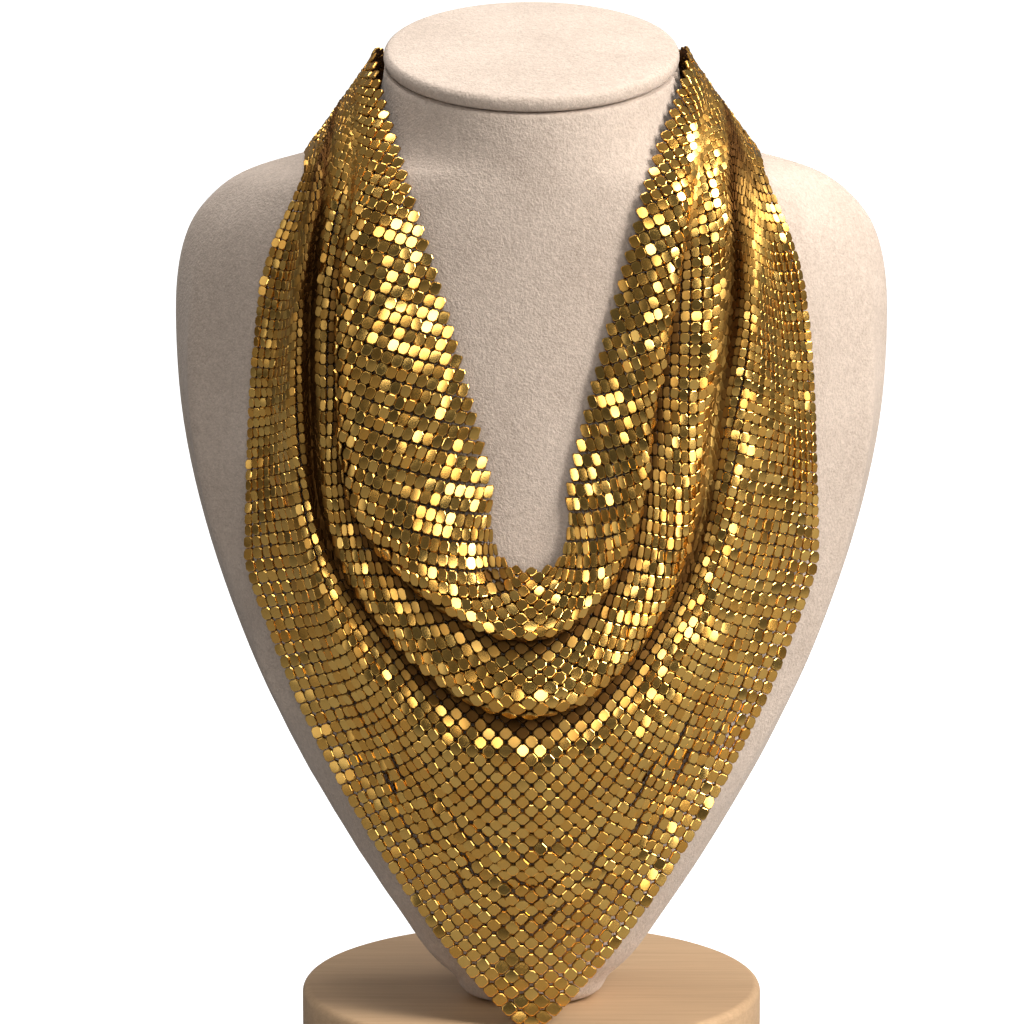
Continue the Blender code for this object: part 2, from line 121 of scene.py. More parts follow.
# Way of the mesh round the back of the neck, from the nape to the top of the shoulder.
NapeRow = namedtuple(
    "NapeRow", "neckline_angle outer_angle neckline_out outer_out neckline_down outer_down"
)
NAPE_ROWS = (
    NapeRow(16.0, 16.0, 0.00, 0.03, 0.10, 0.42),
    NapeRow(54.0, 52.0, 0.03, 0.44, 0.02, 0.86),
    NapeRow(93.0, 80.0, 0.06, 0.97, -0.12, 1.12),
)


# Sizes and colours that a user would change

COLOUR = {"size": 3, "subtype": "COLOR", "min": 0.0, "max": 1.0}


class MeshSizes(bpy.types.PropertyGroup):
    count: IntProperty(
        name="Plates along a side", description="Plates along each straight side of the cut",
        default=114, min=20, max=160,
    )
    pitch: FloatProperty(
        name="Pitch", description="Distance between neighbouring plates",
        default=0.00360, unit="LENGTH", precision=5,
    )
    plate_share: FloatProperty(
        name="Plate width", description="Width of a plate as a share of the pitch",
        default=0.91, subtype="FACTOR", min=0.5, max=1.0,
    )
    plate_thickness: FloatProperty(
        name="Plate thickness", description="Thickness of a plate at its rim",
        default=0.00060, unit="LENGTH", precision=5,
    )
    plate_crown: FloatProperty(
        name="Plate crown", description="Height of a plate's middle over its rim",
        default=0.00006, unit="LENGTH", precision=5,
    )
    tilt: FloatProperty(
        name="Plate tilt", description="Typical tilt of a plate out of the surface",
        default=math.radians(4.5), subtype="ANGLE",
    )
    gold: FloatVectorProperty(
        name="Gold", description="Colour of the plated metal",
        default=(0.98, 0.62, 0.17), **COLOUR,
    )
    sway: FloatProperty(
        name="Sway", description="Typical slow swing of the plates' tilt over the net",
        default=math.radians(7.0), subtype="ANGLE",
    )
    # Painted shade: this near-black gold stands in for the shade on the plates' feet, on the rings
    # and in the crevices of the folds.
    shade_gold: FloatVectorProperty(
        name="Shade gold", description="Colour of the shaded sides and links",
        default=(0.095, 0.040, 0.010), **COLOUR,
    )
    worn_gold: FloatVectorProperty(
        name="Worn gold", description="Colour of the darker plates",
        default=(0.80, 0.39, 0.07), **COLOUR,
    )


class BustSizes(bpy.types.PropertyGroup):
    velvet: FloatVectorProperty(
        name="Velvet", description="Colour of the velvet's pile",
        default=(0.66, 0.54, 0.45), **COLOUR,
    )
    velvet_shade: FloatVectorProperty(
        name="Velvet shade", description="Colour where the pile lies the other way",
        default=(0.42, 0.33, 0.265), **COLOUR,
    )


class BaseSizes(bpy.types.PropertyGroup):
    edge: FloatProperty(
        name="Edge radius", description="Rounding of the base's edges",
        default=0.0025, unit="LENGTH", precision=5,
    )
    wood: FloatVectorProperty(
        name="Wood", description="Colour of the pale wood",
        default=(0.66, 0.44, 0.25), **COLOUR,
    )
    grain: FloatVectorProperty(
        name="Grain", description="Colour of the grain lines",
        default=(0.50, 0.31, 0.17), **COLOUR,
    )


class StageSizes(bpy.types.PropertyGroup):
    key: FloatProperty(
        name="Key light", description="Power of the large light at the upper right",
        default=21.0, unit="POWER",
    )
    fill: FloatProperty(
        name="Fill light", description="Power of the light on the left",
        default=1.2, unit="POWER",
    )
    front: FloatProperty(
        name="Front light", description="Power of the large light over the camera",
        default=10.0, unit="POWER",
    )
    side: FloatProperty(
        name="Side light", description="Power of the tall light at the right",
        default=3.5, unit="POWER",
    )
    top: FloatProperty(
        name="Top light", description="Power of the light overhead",
        default=8.5, unit="POWER",
    )


class Value:
    """A socket in an expression: every operation on it adds one Math node."""

    def __init__(self, paint, socket):
        self.paint = paint
        self.socket = socket

    def math(self, operation, one, other):
        return self.paint.node("ShaderNodeMath", {"operation": operation}, {0: one, 1: other})

    def __add__(self, other):
        return self.math("ADD", self, other)

    def __sub__(self, other):
        return self.math("SUBTRACT", self, other)

    def __mul__(self, other):
        return self.math("MULTIPLY", self, other)

    __radd__ = __add__
    __rmul__ = __mul__

    def __rsub__(self, other):
        return self.math("SUBTRACT", other, self)

    def limited(self, low, high):
        """The value mapped from low..high to 0..1 and held there."""
        inputs = {"Value": self, "From Min": low, "From Max": high}
        return self.paint.node("ShaderNodeMapRange", {"clamp": True}, inputs)


class Paint:
    """One Principled material and the nodes that feed it."""

    def __init__(self, name, **constants):
        self.material = bpy.data.materials.new(name)
        self.material.use_nodes = True
        self.tree = self.material.node_tree
        self.shader = self.tree.nodes["Principled BSDF"]
        for socket, value in constants.items():
            self.shader.inputs[socket.replace("_", " ")].default_value = value

    def node(self, kind, settings, inputs, output=0):
        """Add a node, set it up, give its sockets values or links, and return one output."""
        node = self.tree.nodes.new(kind)
        for name, value in settings.items():
            setattr(node, name, value)
        for name, value in inputs.items():
            if isinstance(value, Value):
                self.tree.links.new(value.socket, node.inputs[name])
            else:
                node.inputs[name].default_value = value
        return Value(self, node.outputs[output])

    def place(self, scale=(1.0, 1.0, 1.0)):
        """Object coordinates, stretched."""
        place = self.node("ShaderNodeTexCoord", {}, {}, "Object")
        return self.node("ShaderNodeMapping", {}, {"Vector": place, "Scale": scale})

    def noise(self, place, scale, detail=2.0, roughness=0.5, distortion=0.0):
        inputs = {"Vector": place, "Scale": scale, "Detail": detail, "Roughness": roughness}
        inputs["Distortion"] = distortion
        return self.node("ShaderNodeTexNoise", {}, inputs)

    def attribute(self, name):
        return self.node("ShaderNodeAttribute", {"attribute_name": name}, {}, "Fac")

    def mixed(self, share, one, other):
        """Colour between two colours."""
        inputs = {0: share}
        inputs[6] = one if isinstance(one, Value) else (*one, 1.0)
        inputs[7] = other if isinstance(other, Value) else (*other, 1.0)
        return self.node("ShaderNodeMix", {"data_type": "RGBA"}, inputs, 2)

    def bump(self, height, strength, distance, below=None):
        inputs = {"Height": height, "Strength": strength, "Distance": distance}
        if below is not None:
            inputs["Normal"] = below
        return self.node("ShaderNodeBump", {}, inputs)

    def feed(self, **sockets):
        """Link expressions to the shader's own sockets."""
        for name, value in sockets.items():
            self.tree.links.new(value.socket, self.shader.inputs[name.replace("_", " ")])
        return self.material


@functools.lru_cache(maxsize=None)
def gold_paint(name):
    """Plated metal: each plate has its own tone, with fine wear and a slightly uneven face; painted
    shade darkens it where its vertex attribute is low.
    """
    sizes = bpy.context.scene.necklace_mesh
    paint = Paint(name, Metallic=1.0)
    place = paint.place()
    tone = paint.attribute("tone")
    wear = paint.noise(place, 420.0, 3.0, 0.6)
    cloud = paint.noise(place, 38.0, 2.0)
    share = (tone * 0.75 + wear * 0.25 + cloud * 0.25 - 0.15).limited(0.0, 1.0)
    face = paint.mixed(share, tuple(sizes.gold), tuple(sizes.worn_gold))
    # Painted shade: where this attribute is low the colour turns to the near-black shade gold, on
    # plate feet, rings and plates in the folds' crevices; it also raises the roughness.
    polish_and_light = paint.attribute("polish_and_light")
    colour = paint.mixed(polish_and_light, tuple(sizes.shade_gold), face)
    scratch = paint.noise(paint.place((1.0, 1.0, 3.5)), 1500.0, 2.0, 0.7)
    roughness = 0.50 - polish_and_light * 0.38 + tone * 0.08 + wear * 0.06
    normal = paint.bump(scratch * 0.6 + wear * 0.4, 0.12, 0.00006)
    return paint.feed(Base_Color=colour, Roughness=roughness, Normal=normal)


@functools.lru_cache(maxsize=None)
def fitting_paint():
    """Plated metal of the end caps and the clasp."""
    sizes = bpy.context.scene.necklace_mesh
    paint = Paint("gold_fitting", Metallic=1.0)
    place = paint.place()
    wear = paint.noise(place, 600.0, 3.0, 0.6)
    cloud = paint.noise(place, 60.0)
    share = (wear * 0.5 + cloud * 0.5).limited(0.2, 0.8)
    colour = paint.mixed(share, tuple(sizes.gold), tuple(sizes.worn_gold))
    roughness = 0.22 + wear * 0.16
    normal = paint.bump(wear, 0.10, 0.00005)
    return paint.feed(Base_Color=colour, Roughness=roughness, Normal=normal)


@functools.lru_cache(maxsize=None)
def velvet_paint():
    """Short-piled velvet: fine grain, soft clouds where the pile was brushed, and a sheen."""
    sizes = bpy.context.scene.necklace_bust
    paint = Paint("velvet", Sheen_Weight=0.2, Sheen_Roughness=0.45, Specular_IOR_Level=0.2)
    paint.shader.inputs["Sheen Tint"].default_value = (1.0, 0.95, 0.90, 1.0)
    place = paint.place()
    grain = paint.noise(place, 1300.0, 2.0, 0.7)
    fibre = paint.noise(place, 480.0, 3.0, 0.6)
    brushed = paint.noise(place, 26.0, 3.0, 0.55, 0.4)
    share = (grain * 0.55 + fibre * 0.35 + brushed * 0.35).limited(0.42, 0.80)
    colour = paint.mixed(share, tuple(sizes.velvet_shade), tuple(sizes.velvet))
    roughness = 0.86 + fibre * 0.12
    fine = paint.bump(grain * 0.6 + fibre * 0.4, 0.9, 0.0006)
    normal = paint.bump(brushed, 0.10, 0.0012, fine)
    return paint.feed(Base_Color=colour, Roughness=roughness, Normal=normal)


@functools.lru_cache(maxsize=None)
def wood_paint():
    """Pale close-grained wood, with its grain along X, under a thin satin finish."""
    sizes = bpy.context.scene.necklace_base
    paint = Paint("maple", Coat_Weight=0.12, Coat_Roughness=0.3)
    streak = paint.noise(paint.place((5.0, 90.0, 150.0)), 3.2, 4.0, 0.62, 0.3)
    line = paint.noise(paint.place((9.0, 420.0, 900.0)), 2.0, 2.0, 0.5)
    pore = paint.noise(paint.place((60.0, 900.0, 1500.0)), 1.5, 1.0)
    board = paint.noise(paint.place((2.0, 14.0, 14.0)), 2.0, 2.0)
    share = (streak * 0.6 + line * 0.35 + board * 0.3 + pore * 0.12).limited(0.46, 0.92)
    colour = paint.mixed(share, tuple(sizes.wood), tuple(sizes.grain))
    roughness = 0.42 + line * 0.16
    normal = paint.bump(line * 0.6 + pore * 0.4, 0.12, 0.00018)
    return paint.feed(Base_Color=colour, Roughness=roughness, Normal=normal)


# Solids turned back into quads, and rounded off
MERGE_DISTANCE = 0.00001
QUAD_BEND = math.radians(30)
QUAD_SKEW = math.radians(60)
ROUND_LEVELS = 2


def chosen_nothing():
    if bpy.context.object and bpy.context.object.mode != "OBJECT":
        bpy.ops.object.mode_set(mode="OBJECT")
    bpy.ops.object.select_all(action="DESELECT")


def active(piece):
    chosen_nothing()
    piece.select_set(True)
    bpy.context.view_layer.objects.active = piece


def applied(piece):
    """Apply every modifier and the object's own place, so that the piece sits at the origin."""
    active(piece)
    for modifier in list(piece.modifiers):
        bpy.ops.object.modifier_apply(modifier=modifier.name)
    bpy.ops.object.transform_apply(location=True, rotation=True, scale=True)


def rounded(piece):
    """Round a piece off, all but its creased edges."""
    surface = piece.modifiers.new("Round", "SUBSURF")
    surface.levels = ROUND_LEVELS
    surface.render_levels = ROUND_LEVELS
    applied(piece)


def dressed(piece, finish, node):
    """Give a finished piece its material and its body, and hide the solid that it stands for."""
    piece.data.materials.clear()
    piece.data.materials.append(finish)
    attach(piece, "root")
    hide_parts(node)


def node_copy(node, name):
    """A merged copy of a solid, back in quads."""
    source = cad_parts[node]
    piece = bpy.data.objects.new(name, source.data.copy())
    bpy.context.scene.collection.objects.link(piece)
    active(piece)
    bpy.ops.object.mode_set(mode="EDIT")
    bpy.ops.mesh.select_all(action="SELECT")
    bpy.ops.mesh.remove_doubles(threshold=MERGE_DISTANCE)
    bpy.ops.mesh.tris_convert_to_quads(face_threshold=QUAD_BEND, shape_threshold=QUAD_SKEW)
    bpy.ops.mesh.select_all(action="DESELECT")
    bpy.ops.object.mode_set(mode="OBJECT")
    return piece


def node_tree(node):
    """Search tree over a solid's triangles."""
    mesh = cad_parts[node].data
    points = [vertex.co.copy() for vertex in mesh.vertices]
    return BVHTree.FromPolygons(points, [tuple(face.vertices) for face in mesh.polygons])


def smooth(stations, values, query):
    """Cubic curve through values at increasing stations."""
    slopes = np.empty_like(values)
    steps = stations[:, None]
    slopes[1:-1] = (values[2:] - values[:-2]) / (steps[2:] - steps[:-2])
    slopes[0] = (values[1] - values[0]) / (steps[1] - steps[0])
    slopes[-1] = (values[-1] - values[-2]) / (steps[-1] - steps[-2])
    index = np.clip(np.searchsorted(stations, query, side="right") - 1, 0, len(stations) - 2)
    width = (stations[index + 1] - stations[index])[:, None]
    share = (query - stations[index])[:, None] / width
    return hermite(share, width, values[index], values[index + 1], slopes[index], slopes[index + 1])


def hermite(share, width, start, end, start_slope, end_slope):
    return (
        (1 + 2 * share) * (1 - share) ** 2 * start
        + share * (1 - share) ** 2 * width * start_slope
        + share**2 * (3 - 2 * share) * end
        + share**2 * (share - 1) * width * end_slope
    )


def bust_depth(bust, x, share):
    """Depth of the bust's front at x and a height share, or None beside it."""
    height = BUST_FOOT + share * BUST_HEIGHT
    hit = bust.ray_cast(Vector((x, -1.0, height)), Vector((0.0, 1.0, 0.0)))[0]
    return None if hit is None else hit.y


def drape_front(bust, x, share):
    """Depth at which cloth hangs at x: the furthest front of the bust at or above a height."""
    levels = [level for level in np.linspace(0.0, CHEST_SHARE, DRAPE_LEVELS) if level > share]
    depths = [bust_depth(bust, x, level) for level in [share] + levels]
    return min(depth for depth in depths if depth is not None)


def draped_point(bust, x, share, lift):
    """Point of the mesh over the chest, from shares of height and of fold depth."""
    depth = drape_front(bust, x, share) - MESH_LAY - lift * FOLD_DEPTH
    return (x, depth, BUST_FOOT + share * BUST_HEIGHT)


def nape_points(across, side):
    """The three points of a fold line behind the neck and over the shoulder."""
    points = []
    for row in NAPE_ROWS:
        angle = math.radians(row.neckline_angle + (row.outer_angle - row.neckline_angle) * across)
        out = row.neckline_out + (row.outer_out - row.neckline_out) * across
        down = row.neckline_down + (row.outer_down - row.neckline_down) * across
        radius = NECK_RADIUS + MESH_LAY + out * FOLD_DEPTH
        height = BUST_FOOT + BUST_HEIGHT - down * FOLD_DEPTH
        depth = NECK_AXIS_Y + radius * math.cos(angle)
        points.append((side * radius * math.sin(angle), depth, height))
    return points


def half_line(bust, row, side):
    """Points of one fold line from the nape down to, and without, the one on the centre."""
    widths = (row.left_shoulder, row.left_chest, row.left_turn)
    if side > 0:
        widths = (row.right_shoulder, row.right_chest, row.right_turn)
    shoulder, chest, turn = (share * BUST_HALF_WIDTH for share in widths)
    stations = [(shoulder, SHOULDER_SHARE, row.lift_shoulder), (chest, CHEST_SHARE, row.lift_chest)]
    for step in range(CURVE_POINTS):
        angle = math.pi / 2 * step / CURVE_POINTS
        x = turn * math.cos(angle) ** (2 / row.squareness)
        fall = math.sin(angle) ** (2 / row.squareness)
        lift = row.lift_centre + (row.lift_chest - row.lift_centre) * math.cos(angle)
        stations.append((x, row.turn + (row.low - row.turn) * fall, lift))
    chest_points = [draped_point(bust, side * x, height, lift) for x, height, lift in stations]
    return nape_points(row.across, side) + chest_points


def travel_of(points):
    steps = np.linalg.norm(np.diff(points, axis=0), axis=1)
    return np.concatenate(([0.0], np.cumsum(steps)))


def measured_halves(bust, row):
    """Left and right half of a fold line, each as travel from its end and points."""
    left = half_line(bust, row, -1)
    right = half_line(bust, row, 1)
    centre = draped_point(bust, 0.0, row.low, row.lift_centre)
    points = np.array(left + [centre] + right[::-1])
    chords = travel_of(points)
    middle = chords[len(left)]
    halves = []
    for start, end in ((0.0, middle), (chords[-1], middle)):
        half = smooth(chords, points, np.linspace(start, end, LINE_SAMPLES))
        halves.append((travel_of(half), half))
    return halves


def surface_points(halves, along, across, side):
    """Points of the folded surface at a share along every fold line and one across them."""
    values = np.empty((len(FOLD_ROWS), len(across), 3))
    for row, pair in enumerate(halves):
        for direction, (travel, half) in zip((-1, 1), pair):
            here = side == direction
            reach = along[row, here] * travel[-1]
            for axis in range(3):
                values[row, here, axis] = np.interp(reach, travel, half[:, axis])
    stations = np.array([row.across for row in FOLD_ROWS])
    spans = (stations[2:] - stations[:-2])[:, None, None]
    slopes = np.empty_like(values)
    slopes[1:-1] = FOLD_SLACK_SHARE * (values[2:] - values[:-2]) / spans
    slopes[0] = (values[1] - values[0]) / (stations[1] - stations[0])
    slopes[-1] = (values[-1] - values[-2]) / (stations[-1] - stations[-2])
    index = np.clip(np.searchsorted(stations, across, side="right") - 1, 0, len(stations) - 2)
    width = (stations[index + 1] - stations[index])[:, None]
    share = (across - stations[index])[:, None] / width
    n = np.arange(len(across))
    ends = (values[index, n], values[index + 1, n], slopes[index, n], slopes[index + 1, n])
    points = hermite(share, width, *ends)
    points[:, 1] -= ripple(across, along[0])
    return points


# Pitch of the net as a share of its full pitch: the plates of the outer strips over the
# shoulders are the smallest. Reach runs from the ends of the cut to its centre line.
PitchRow = namedtuple("PitchRow", "reach neckline middle outer")
PITCH_ROWS = (
    PitchRow(0.00, 1.00, 1.00, 1.05),
    PitchRow(0.15, 1.00, 0.97, 0.95),
    PitchRow(0.24, 1.00, 0.92, 0.80),
    PitchRow(0.54, 1.00, 0.95, 0.80),
    PitchRow(0.66, 1.00, 1.00, 1.00),
    PitchRow(1.00, 1.00, 1.00, 1.00),
)
PITCH_MIDDLE = 0.40
PITCH_OUTER_WIDTH = 0.25

# Steadiness is how far a line keeps the neckline's even spacing down to the chest and takes
# up its own extra length only near the centre.
STEADINESS = (1.0, 1.0, 1.0, 1.0, 1.0, 1.0, 0.5, 0.0, 0.0, 0.0)
STEADY_POWER = 3.0

# How far ahead of its even spacing the cloth lies along the outer ridge, as a share of the
# ridge's length; half as far on the line between it and the outer edge.
AHEAD_REACHES = (0.16, 0.28, 0.40, 0.52, 0.62, 1.00)
AHEAD_SHARES = (0.000, 0.015, 0.020, 0.011, 0.000, 0.000)
AHEAD_FOLDS = {0.60: 1.0, 0.80: 0.5}

# Places across the folds and along them where the spread of the cloth is worked out, and the
# crevices, as a place and a half width, that take up the cloth which the faces don't need.
CLOTH_PLACES = np.linspace(0.0, 1.0, 101)
CLOTH_REACHES = np.linspace(END_SHARE, 1.0, 25)
CREVICES = ((0.225, 0.020), (0.475, 0.020))
SPREAD_ROUNDS = 4
SPREAD_EVENING_ROUNDS = 2

# Room across the folds for one diagonal step of the net, in pitches: wider at the neckline,
# and its true width from a place inwards.
NECKLINE_DIAGONAL = 1.52
TRUE_DIAGONAL_PLACE = 0.6


def cut_point(reach, cloth):
    """Place on the flat cut, in plates, at a reach and a share of the cut's width."""
    inward = (1 - cloth) / 2 * reach
    return np.stack([(1 - reach) + inward, inward])


def fold_travels(halves, way, cloth_lines):
    """For each fold line of one half, the share of its length passed at each sampled reach."""
    reaches = np.linspace(END_SHARE, 1.0, LINE_SAMPLES)
    late = ((reaches - END_SHARE) / (1 - END_SHARE)) ** STEADY_POWER
    travels = []
    pace = None
    for fold, pair, steadiness in zip(FOLD_ROWS, halves, STEADINESS):
        place = np.interp(fold.across, CLOTH_PLACES, np.arange(len(CLOTH_PLACES)))
        low = min(int(place), len(CLOTH_PLACES) - 2)
        row = cloth_lines[:, low] + (place - low) * (cloth_lines[:, low + 1] - cloth_lines[:, low])
        cloth = np.interp(reaches, CLOTH_REACHES, row)
        steps = np.linalg.norm(np.diff(cut_point(reaches, cloth), axis=1), axis=0)
        shares = pitch_shares(reaches, np.full(len(reaches), fold.across))
        flat = np.concatenate(([0.0], np.cumsum(steps * (shares[1:] + shares[:-1]) / 2)))
        length = pair[way][0][-1]
        pace = pace or length / flat[-1]
        steady = (flat * pace + (length - flat[-1] * pace) * late) / length
        ahead = AHEAD_FOLDS.get(fold.across, 0.0) * np.interp(reaches, AHEAD_REACHES, AHEAD_SHARES)
        travels.append(steadiness * steady + (1 - steadiness) * flat / flat[-1] + ahead)
    return reaches, np.array(travels)


def spread_cloth(halves, way, cloth_lines):
    """Share of the cut at each place across the folds, for each listed reach of one half.

    The faces that show take as much cloth as covers them; the crevices take up the rest.
    """
    sizes = bpy.context.scene.necklace_mesh
    side = np.full(len(CLOTH_PLACES), (-1, 1)[way])
    sampled, travels = fold_travels(halves, way, cloth_lines)
    crevice = sum(np.exp(-(((CLOTH_PLACES - middle) / width) ** 2)) for middle, width in CREVICES)
    crevice = (crevice[1:] + crevice[:-1]) / 2
    widths = (NECKLINE_DIAGONAL, math.sqrt(2.0))
    diagonal = np.interp(CLOTH_PLACES, (0.0, TRUE_DIAGONAL_PLACE), widths)
    rows = []
    for reach in CLOTH_REACHES:
        along = np.array([np.interp(reach, sampled, travel) for travel in travels])
        along = np.repeat(along[:, None], len(CLOTH_PLACES), axis=1)
        points = surface_points(halves, along, CLOTH_PLACES, side)
        shares = pitch_shares(np.full(len(CLOTH_PLACES), reach), CLOTH_PLACES)
        step = sizes.pitch * diagonal * shares
        needed = np.linalg.norm(np.diff(points, axis=0), axis=1) / ((step[1:] + step[:-1]) / 2)
        spare = max(sizes.count * reach / 2 - needed.sum(), 0.0)
        taken = needed + spare * crevice / crevice.sum()
        rows.append(np.concatenate(([0.0], np.cumsum(taken) / taken.sum())))
    rows = np.array(rows)
    for _ in range(SPREAD_EVENING_ROUNDS):
        rows[1:-1] = (rows[:-2] + 2 * rows[1:-1] + rows[2:]) / 4
    return rows


def cloth_points(halves, reach, cloth, side):
    """Points of the folded surface where plates of the cut come to lie."""
    along = np.empty((len(FOLD_ROWS), len(reach)))
    across = np.empty(len(reach))
    for way, here in enumerate((side < 0, side > 0)):
        cloth_lines = np.repeat(CLOTH_PLACES[None], len(CLOTH_REACHES), axis=0)
        for _ in range(SPREAD_ROUNDS):
            cloth_lines = spread_cloth(halves, way, cloth_lines)
        reaches, travels = fold_travels(halves, way, cloth_lines)
        along[:, here] = [np.interp(reach[here], reaches, travel) for travel in travels]
        lines = np.array([np.interp(reach[here], CLOTH_REACHES, line) for line in cloth_lines.T])
        index = np.clip((cloth[here][None] >= lines).sum(0) - 1, 0, len(lines) - 2)
        n = np.arange(len(index))
        share = (cloth[here] - lines[index, n]) / (lines[index + 1, n] - lines[index, n])
        across[here] = CLOTH_PLACES[index] + share * (CLOTH_PLACES[index + 1] - CLOTH_PLACES[index])
    return surface_points(halves, along, across, side)


def ripple(across, along):
    """Shallow smile-shaped waves over the middle of the lower chest."""
    width = RIPPLE_END_SHARE - RIPPLE_START_SHARE
    share = np.clip((across - RIPPLE_START_SHARE) / width, 0.0, 1.0)
    fade = np.sin(math.pi * share) ** 0.5
    rise = RIPPLE_FULL_SHARE - RIPPLE_RISE_SHARE
    middle = np.clip((along - RIPPLE_RISE_SHARE) / rise, 0.0, 1.0)
    return RIPPLE_DEPTH * fade * middle * np.sin(2 * math.pi * RIPPLE_COUNT * share)


def pitch_shares(reach, across):
    """Share of the full pitch at shares along and across the cut."""
    table = np.array(PITCH_ROWS)
    columns = [np.interp(reach, table[:, 0], table[:, k]) for k in (1, 2, 3)]
    inner = np.clip(across / PITCH_MIDDLE, 0.0, 1.0)
    outer = np.clip((across - PITCH_MIDDLE) / PITCH_OUTER_WIDTH, 0.0, 1.0)
    return columns[0] * (1 - inner) + columns[1] * (inner - outer) + columns[2] * outer


Net = namedtuple("Net", "cells index points side")


def flat_net(count):
    """Plates of the flat cut, with their shares along and across it and the side they are on."""
    cells = np.array([(i, j) for i in range(count + 1) for j in range(count + 1 - i)])
    cells = cells[1 - np.abs(cells[:, 0] - cells[:, 1]) / count > END_SHARE]
    i, j = cells.T
    reach = 1 - np.abs(i - j) / count
    across = np.clip(1 - 2 * np.minimum(i, j) / (count * reach), 0.0, 1.0)
    side = np.where(i >= j, -1, 1)
    return cells, reach, across, side


def cell_index(cells, count):
    index = -np.ones((count + 3, count + 3), int)
    index[cells[:, 0], cells[:, 1]] = np.arange(len(cells))
    return index


def pairs(cells, index, axis):
    """Plates and their next ones along an axis, in two groups where no plate comes twice."""
    ahead = cells + np.eye(2, dtype=int)[axis]
    second = index[ahead[:, 0], ahead[:, 1]]
    first = np.flatnonzero(second >= 0)
    run = cells[first, axis] % 2
    return [(first[run == k], second[first][run == k]) for k in (0, 1)]


def held_close(points, groups, spans):
    """Draw together every pair that is further apart than its link allows."""
    for first, second in groups:
        span = (spans[first] + spans[second]) / 2 * LINK_LONGEST
        gap = points[second] - points[first]
        length = np.maximum(np.linalg.norm(gap, axis=1), 1e-9)
        move = (0.5 * np.maximum(length - span, 0.0) / length)[:, None] * gap
        points[first] += move
        points[second] -= move


def evened(points, groups):
    """Move every plate a little towards the middle of its neighbours."""
    total = np.zeros_like(points)
    number = np.zeros(len(points))
    for first, second in groups:
        total[first] += points[second]
        total[second] += points[first]
        number[first] += 1
        number[second] += 1
    whole = number == 4
    points[whole] += SOLVER_EVENING * (total[whole] / 4 - points[whole])


def clear_of_bust(points, bust):
    for k, point in enumerate(points):
        place = Vector(point)
        hit, normal, _, distance = bust.find_nearest(place)
        depth = distance if (place - hit).dot(normal) >= 0 else -distance
        if depth < BUST_CLEARANCE:
            points[k] = hit + normal * BUST_CLEARANCE


def surface_tree(halves):
    """Search tree over the folded surface."""
    columns = np.linspace(0.0, 1.0, TREE_COLUMNS)
    rows = np.linspace(0.0, 1.0, TREE_ROWS)
    along, across = (grid.ravel() for grid in np.meshgrid(columns, rows, indexing="ij"))
    along = np.tile(along, (len(FOLD_ROWS), 1))
    points = []
    faces = []
    for side in (-1, 1):
        first = len(points)
        points += surface_points(halves, along, across, np.full(across.shape, side)).tolist()
        for a in range(len(columns) - 1):
            for b in range(len(rows) - 1):
                k = first + a * len(rows) + b
                faces.append((k, k + 1, k + 1 + len(rows), k + len(rows)))
    return BVHTree.FromPolygons(points, faces)


@functools.lru_cache(maxsize=None)
def laid_net():
    """The net of plates, laid on the folds and drawn together where its links are too long."""
    sizes = bpy.context.scene.necklace_mesh
    count = sizes.count
    pitch = sizes.pitch
    bust = node_tree("neck_bust")
    halves = [measured_halves(bust, row) for row in FOLD_ROWS]
    cells, reach, across, side = flat_net(count)
    points = cloth_points(halves, reach, across, side)
    index = cell_index(cells, count)
    tree = surface_tree(halves)
    shares = pitch_shares(reach, across)
    links = pairs(cells, index, 0) + pairs(cells, index, 1)
    rims = (cells.sum(1) == count) | (cells.min(1) == 0)
    held = np.flatnonzero(rims | (reach < END_SHARE + END_HELD))
    held_points = points[held].copy()
    for turn in range(SOLVER_ROUNDS):
        held_close(points, links, shares * pitch)
        evened(points, links)
        if turn % SETTLING_STRIDE == SETTLING_STRIDE - 1:
            near = np.array([tree.find_nearest(point)[0] for point in points])
            points += (near - points) * SETTLING
        points[held] = held_points
    points[:, 1] += dimple(points, across)
    clear_of_bust(points, bust)
    return Net(cells, index, points, side)


# Gather at the neckline, in metres
DIMPLE_X = -0.0115
DIMPLE_Z = 0.1560
DIMPLE_HALF_WIDTH = 0.0034
DIMPLE_HALF_HEIGHT = 0.0080
DIMPLE_LEAN = -0.45
DIMPLE_DEPTH = 0.0065
DIMPLE_ACROSS = 0.16


def dimple(points, across):
    """Depth of the small gather just left of the neckline's lowest point."""
    beside = (points[:, 0] - DIMPLE_X - (points[:, 2] - DIMPLE_Z) * DIMPLE_LEAN) / DIMPLE_HALF_WIDTH
    above = (points[:, 2] - DIMPLE_Z) / DIMPLE_HALF_HEIGHT
    return DIMPLE_DEPTH * np.exp(-(beside**2) - above**2) * (across < DIMPLE_ACROSS)


# Plates grow with their room up to a share of the pitch, and are held towards squares; their
# normals are evened over a few neighbours and take out most of each side's lean
ROOM_FILLED = 1.16
SQUARED = 0.6
NORMAL_ROUNDS = 2
NORMAL_HOLD = 0.8


